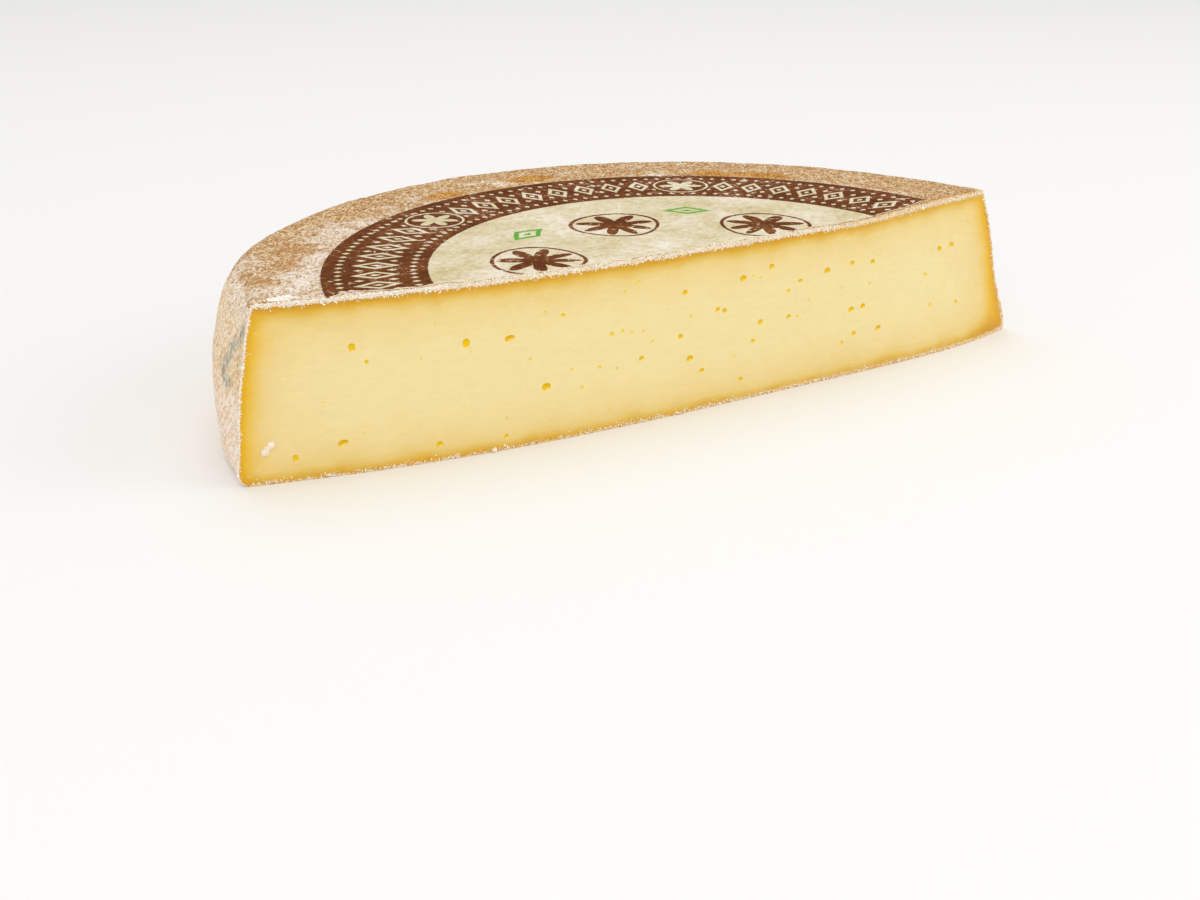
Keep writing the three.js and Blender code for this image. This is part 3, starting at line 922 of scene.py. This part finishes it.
def note_rind(piece, x, y, z):
    """Whether a vertex lies on the top or the side, and how much bloom, stain and mould it carries."""
    top = HEIGHT - z
    angle = np.arctan2(y, x)
    arc = (LEFT_END["angle"] - angle) * BELLY_RADIUS
    side = np.clip((top - 0.5) / 9, 0, 1)
    keep_attribute(piece, "side_share", side)
    keep_attribute(piece, "mould_streak", streak_share(arc, z))
    keep_attribute(piece, "stain", (1 - side) * sum(on_ring(x, y, *patch) for patch in STAINS))
    outward = np.clip((np.hypot(x, y) - LABEL_RADIUS) / 30, 0, 1)
    on_top = mix(PALLOR["by_label"], PALLOR["by_rim"], outward)
    on_top = on_top + PALLOR["right_end"] * fade_from(RIGHT_END["angle"], 50.0, angle)
    on_top = on_top + mix(PALLOR["front"], PALLOR["back"], smooth_step(y, 40.0, 120.0))
    on_top = on_top + sum(more * on_ring(x, y, *patch) for *patch, more in DRIFTS)
    near_left = mix(PALLOR["left_foot"], PALLOR["left_wall"], smooth_step(z, 18.0, 48.0))
    bare = np.exp(-(arc / 13) ** 2) * smooth_step(z, 22.0, 32.0) * (1 - smooth_step(z, 50.0, 58.0))
    on_side = mix(PALLOR["side"], near_left, np.exp(-(arc / 60) ** 2)) + PALLOR["left_bare"] * bare
    upper = smooth_step(top, 0.6, 3.0) * (1 - smooth_step(top, 14.0, 26.0))
    shoulder = upper * np.exp(-((arc - 16) / 30) ** 2)
    keep_attribute(piece, "pallor", mix(on_top, on_side, side) + PALLOR["left_shoulder"] * shoulder)


def note_places(piece):
    """Keep on each vertex what the materials follow."""
    x, y, z = from_frame(vertex_places(piece)).T
    z = np.clip(z, 0, HEIGHT)
    note_paste(piece, x, z)
    note_crust(piece, x, y, z)
    note_rind(piece, x, y, z)


class RACLETTE_OT_half_wheel(bpy.types.Operator):
    """Model the half wheel: rind, cut face, its broken edges and the eyes that the knife opened"""
    bl_idname = "raclette.half_wheel"
    bl_label = "Half wheel"

    def execute(self, context):
        sizes = context.scene.raclette_sizes
        colours = context.scene.raclette_colours
        body = model_body(sizes, paste_material(colours), rind_material(colours))
        displace(body, "rind lumps", 16 * MM, sizes.rind_relief, "rind")
        displace(body, "rind crags", 3 * MM, sizes.rind_relief * 0.4, "rind")
        displace(body, "knife waver", 30 * MM, 0.3 * MM, "cut")
        displace(body, "broken edge", 1.6 * MM, sizes.edge_relief, "edge")
        cutter = model_eyes()
        opened = body.modifiers.new("opened eyes", 'BOOLEAN')
        opened.operation = 'DIFFERENCE'
        opened.solver = 'MANIFOLD'
        opened.material_mode = 'TRANSFER'
        opened.object = cutter
        apply_modifier(body, opened)
        bpy.data.objects.remove(cutter)
        note_places(body)
        finish_piece(body, "cheese", "cheese")
        return {'FINISHED'}


LABEL_COLUMNS = 300
LABEL_ROWS = 60


def model_label():
    """The sheet of paper from its ragged tear to its round edge."""
    piece, column, row = add_grid("paper_label", LABEL_COLUMNS, LABEL_ROWS)
    span = np.linspace(-LABEL_RADIUS, LABEL_RADIUS, 4001)
    held = span[np.hypot(span, tear_line(span)) < LABEL_RADIUS]
    left, right = held[0], held[-1]
    along = column / LABEL_COLUMNS
    share = row / LABEL_ROWS
    x_tear = mix(left, right, along)
    # The fringe is ragged, and finer on the right
    stations = mix(left, right, np.arange(LABEL_COLUMNS + 1) / LABEL_COLUMNS)
    ragged = np.array([
        noise.noise((x * 0.9, 3.1, 0.0)) + 0.5 * noise.noise((x * 2.7, 9.4, 0.0)) for x in stations])[column]
    y_tear = tear_line(x_tear) + mix(0.7, 0.3, smooth_step(x_tear, 50.0, 80.0)) * ragged
    angle = mix(math.atan2(tear_line(left), left), math.atan2(tear_line(right), right), along)
    x = mix(x_tear, LABEL_RADIUS * np.cos(angle), share)
    y = mix(y_tear, LABEL_RADIUS * np.sin(angle), share)
    move_vertices(piece, to_frame(x, y, np.full_like(x, LABEL_BASE)))
    keep_attribute(piece, "tear_gap", (y - y_tear) * mix(1.0, 2.5, smooth_step(x, 50.0, 80.0)))
    close_seams(piece, MERGE_DISTANCE)
    wall = piece.modifiers.new("paper", 'SOLIDIFY')
    wall.thickness = LABEL_THICKNESS * MM
    wall.offset = 1.0
    apply_modifier(piece, wall)
    return piece


class RACLETTE_OT_paper_label(bpy.types.Operator):
    """Lay the printed paper label on the top, torn along the cut"""
    bl_idname = "raclette.paper_label"
    bl_label = "Paper label"

    def execute(self, context):
        sizes = context.scene.raclette_sizes
        label = model_label()
        label.data.materials.append(label_material(context.scene.raclette_colours, sizes))
        finish_piece(label, "label", "label")
        return {'FINISHED'}


# Crumbs by edge of the cut: share of all crumbs, where they start and how far they reach into the face,
# radius and range of tone
CRUMB_BANDS = (
    dict(edge="top", share=0.62, inset=-0.1, reach=0.75, radius=0.2, tone=(0.45, 1.0)),
    dict(edge="top", share=0.012, inset=0.4, reach=1.2, radius=0.26, tone=(0.6, 1.0)),
    dict(edge="bottom", share=0.22, inset=0.3, reach=0.7, radius=0.21, tone=(0.35, 1.1)),
    dict(edge="left", share=0.08, inset=-0.15, reach=0.38, radius=0.18, tone=(0.45, 0.95)),
    dict(edge="right", share=0.14, inset=-0.05, reach=0.7, radius=0.22, tone=(0.7, 1.2)),
)

# Loose crumbs on the top: middle and half length along the cut, gap behind it, count, reach further back,
# radius and range of tone; the second lie on a torn white patch of the rind
LITTER = dict(middle=-45, half=100, start=0.0, count=500, reach=0.9, radius=0.18, tone=(0.4, 1.0))
TORN_PATCH = dict(middle=-134.0, half=5.5, start=3.6, count=200, reach=4.0, radius=0.18, tone=(0.9, 1.0))


def outline_places(edge, t):
    """Points along one edge of the cut, and the way from it into the face."""
    if edge in ("top", "bottom"):
        z = np.full_like(t, HEIGHT if edge == "top" else 0.0)
        left, right = cut_ends(z)
        return mix(left, right, t), z, (0.0, -1.0 if edge == "top" else 1.0)
    z = t * HEIGHT
    left, right = cut_ends(z)
    return (left, z, (1.0, 0.0)) if edge == "left" else (right, z, (-1.0, 0.0))


def edge_crumbs(draw, band, count):
    """Crumbs in clumps along one edge of the cut, as rows of x, y, z, radius and tone."""
    edge = band["edge"]
    tries = int(count * band["share"] * 2)
    t = draw.random(tries)
    if edge == "right":
        t = t ** 1.7
    clump = np.array([noise.noise((v * 70, band["radius"] * 90, 0.0)) for v in t])
    t = t[draw.random(tries) < 0.5 + 0.9 * clump]
    x, z, (in_x, in_z) = outline_places(edge, t)
    lower = 0.2 * smooth_step(x, 55.0, 80.0) if edge == "top" else 0.0
    reach = np.abs(draw.normal(0, band["reach"], len(t))) + band["inset"] + lower
    radius = band["radius"] * np.exp(draw.normal(0, 0.35, len(t)))
    x = x + in_x * reach + draw.normal(0, 0.1, len(t))
    z = np.maximum(z + in_z * reach, radius * 0.8)
    y = cut_line(x, z) - radius * draw.uniform(-0.2, 0.6, len(t))
    browner = 0.3 * smooth_step(x, -95.0, -75.0) + 0.35 * smooth_step(x, 50.0, 80.0)
    if edge == "top":
        browner = browner * mix(0.2, 1.0, np.exp(-(np.maximum(reach, 0) / 0.6) ** 2))
    if edge == "bottom":
        browner = 0.5 * browner
    tone = draw.uniform(*band["tone"], len(t)) + 0.15 - browner
    return np.stack([x, y, z, radius, tone], axis=1)


def loose_crumbs(draw, patch):
    """Crumbs strewn behind the cut, on the rind or on the label, as the same rows."""
    across = draw.uniform(-1, 1, patch["count"])
    x = patch["middle"] + patch["half"] * across
    gap = patch["start"] + np.abs(draw.normal(0, 0.4, len(x))) * patch["reach"] * (1 - 0.7 * across ** 2)
    y = cut_line(x, HEIGHT) + gap
    radius = patch["radius"] * np.exp(draw.normal(0, 0.35, len(x)))
    on_label = (y > tear_line(x)) & (np.hypot(x, y) < LABEL_RADIUS)
    z = np.where(on_label, LABEL_BASE + LABEL_THICKNESS, HEIGHT) + 0.15 * radius
    return np.stack([x, y, z, radius, draw.uniform(*patch["tone"], len(x))], axis=1)


def scatter_crumbs(count):
    """All crumbs from one seed, edge by edge and then the loose ones."""
    draw = np.random.default_rng(11)
    rows = [edge_crumbs(draw, band, count) for band in CRUMB_BANDS]
    rows += [loose_crumbs(draw, patch) for patch in (LITTER, TORN_PATCH)]
    return np.concatenate(rows)


def model_crumbs(count):
    """One faceted grain, copied to every crumb with its own size, turn and dents, as one mesh."""
    deselect_all()
    bpy.ops.mesh.primitive_ico_sphere_add(subdivisions=1, radius=1.0)
    piece = bpy.context.object
    piece.name = "rind_crumbs"
    grain = vertex_places(piece)
    corners = np.array([face.vertices[:] for face in piece.data.polygons])
    crumbs = scatter_crumbs(count)
    draw = np.random.default_rng(23)
    turns = draw.normal(size=(len(crumbs), 3, 3))
    turns = np.linalg.qr(turns)[0]
    turns[:, :, 0] *= np.linalg.det(turns)[:, None]
    stretch = draw.uniform(0.6, 1.3, (len(crumbs), 1, 3))
    dents = draw.uniform(0.75, 1.2, (len(crumbs), len(grain), 1))
    shapes = (grain * dents * stretch) @ turns * crumbs[:, None, 3:4]
    places = shapes + crumbs[:, None, :3]
    places[:, :, 2] = np.maximum(places[:, :, 2], 0)
    faces = corners + np.arange(len(crumbs))[:, None, None] * len(grain)
    mesh = bpy.data.meshes.new("rind_crumbs")
    mesh.from_pydata(to_frame(*np.moveaxis(places, -1, 0)).reshape(-1, 3), [], faces.reshape(-1, 3).tolist())
    piece.data = mesh
    keep_attribute(piece, "tone", np.repeat(crumbs[:, 4], len(grain)))
    return piece


class RACLETTE_OT_crumbs(bpy.types.Operator):
    """Scatter the crumbs that the knife broke from the rind along the edges of the cut"""
    bl_idname = "raclette.crumbs"
    bl_label = "Rind crumbs"

    def execute(self, context):
        crumbs = model_crumbs(context.scene.raclette_sizes.crumbs)
        crumbs.data.materials.append(crumb_material())
        finish_piece(crumbs, "cheese")
        return {'FINISHED'}


# Lobes of the crystal patch: along the cut, height, half width and half height
CRYSTAL_LOBES = ((-143.9, 11.0, 1.5, 1.5), (-143.1, 12.3, 1.2, 1.3), (-141.9, 13.4, 1.4, 1.4))
CRYSTAL_PROUD = 0.55


class RACLETTE_OT_crystal(bpy.types.Operator):
    """Set the lumpy patch of crystals into the cut face"""
    bl_idname = "raclette.crystal"
    bl_label = "Crystal patch"

    def execute(self, context):
        deselect_all()
        lobes = []
        for along, up, wide, tall in CRYSTAL_LOBES:
            bpy.ops.mesh.primitive_ico_sphere_add(
                subdivisions=4, radius=1.0, scale=(wide * MM, CRYSTAL_PROUD * 1.6 * MM, tall * MM),
                rotation=(0.0, math.radians(25), 0.0),
                location=to_frame(along, float(cut_line(along, up)) + 0.2, up))
            lobes.append(context.object)
        for lobe in lobes:
            lobe.select_set(True)
        bpy.ops.object.join()
        patch = context.object
        patch.name = patch.data.name = "crystal_patch"
        bpy.ops.object.transform_apply(location=True, rotation=True, scale=True)
        patch.data.remesh_voxel_size = 0.16 * MM
        bpy.ops.object.voxel_remesh()
        displace(patch, "crystal lumps", 0.9 * MM, 0.5 * MM)
        patch.data.materials.append(crystal_material())
        finish_piece(patch, "cheese")
        return {'FINISHED'}


# Soft boxes: name, place and size in metres, power in watts
LIGHTS = (
    ("key", (-0.9, -1.3, 1.3), 1.2, 9.0),
    ("fill", (1.3, -0.9, 0.9), 1.2, 5.6),
    ("top", (0.1, 0.5, 1.7), 1.4, 6.0),
)
SKY_STRENGTH = 0.72


def add_light(name, place, size, power):
    """A square soft box, aimed at the half wheel."""
    bpy.ops.object.light_add(type='AREA', location=place)
    light = bpy.context.object
    light.name = name
    light.data.shape = 'SQUARE'
    light.data.size = size
    light.data.energy = power
    light.rotation_euler = (-Vector(place)).to_track_quat('-Z', 'Y').to_euler()


class RACLETTE_OT_studio(bpy.types.Operator):
    """Add the pale floor, the soft boxes and the camera"""
    bl_idname = "raclette.studio"
    bl_label = "Studio"

    def execute(self, context):
        deselect_all()
        bpy.ops.mesh.primitive_plane_add(size=12.0)
        floor = context.object
        floor.name = "floor"
        material, add = new_material("pale_floor")
        close_material(add, {"Base Color": "#f4f3f1", "Roughness": 0.9})
        floor.data.materials.append(material)
        for light in LIGHTS:
            add_light(*light)
        world = bpy.data.worlds.new("studio")
        world.use_nodes = True
        backdrop = world.node_tree.nodes["Background"]
        backdrop.inputs["Color"].default_value = (1.0, 1.0, 1.0, 1.0)
        backdrop.inputs["Strength"].default_value = SKY_STRENGTH
        context.scene.world = world
        context.scene.view_settings.view_transform = 'Standard'
        bpy.ops.object.camera_add(location=CAMERA_PLACE + AXIS, rotation=CAMERA_TURN)
        camera = context.object
        camera.data.sensor_fit = 'HORIZONTAL'
        camera.data.sensor_width = SENSOR_WIDTH
        camera.data.lens = CAMERA_LENS
        context.scene.camera = camera
        return {'FINISHED'}


class RACLETTE_PT_cheese(bpy.types.Panel):
    """Lists the half wheel's pieces, sizes and colours"""
    bl_idname = "RACLETTE_PT_cheese"
    bl_label = "Raclette half wheel"
    bl_space_type = 'VIEW_3D'
    bl_region_type = 'UI'
    bl_category = "Cheese"

    def draw(self, context):
        for operator in OPERATORS:
            self.layout.operator(operator.bl_idname)
        for group in (context.scene.raclette_sizes, context.scene.raclette_colours):
            for name in group.bl_rna.properties.keys():
                if name not in ("rna_type", "name"):
                    self.layout.prop(group, name)


GROUPS = (RacletteSizes, RacletteColours)
OPERATORS = (RACLETTE_OT_half_wheel, RACLETTE_OT_crumbs, RACLETTE_OT_crystal, RACLETTE_OT_paper_label,
             RACLETTE_OT_studio)


def register():
    for cls in (*GROUPS, *OPERATORS, RACLETTE_PT_cheese):
        bpy.utils.register_class(cls)
    bpy.types.Scene.raclette_sizes = bpy.props.PointerProperty(type=RacletteSizes)
    bpy.types.Scene.raclette_colours = bpy.props.PointerProperty(type=RacletteColours)


def unregister():
    del bpy.types.Scene.raclette_colours
    del bpy.types.Scene.raclette_sizes
    for cls in (RACLETTE_PT_cheese, *reversed(OPERATORS), *reversed(GROUPS)):
        bpy.utils.unregister_class(cls)


def main():
    register()
    bpy.ops.raclette.half_wheel()
    bpy.ops.raclette.crumbs()
    bpy.ops.raclette.crystal()
    bpy.ops.raclette.paper_label()
    bpy.ops.raclette.studio()


if __name__ == "__main__":
    main()
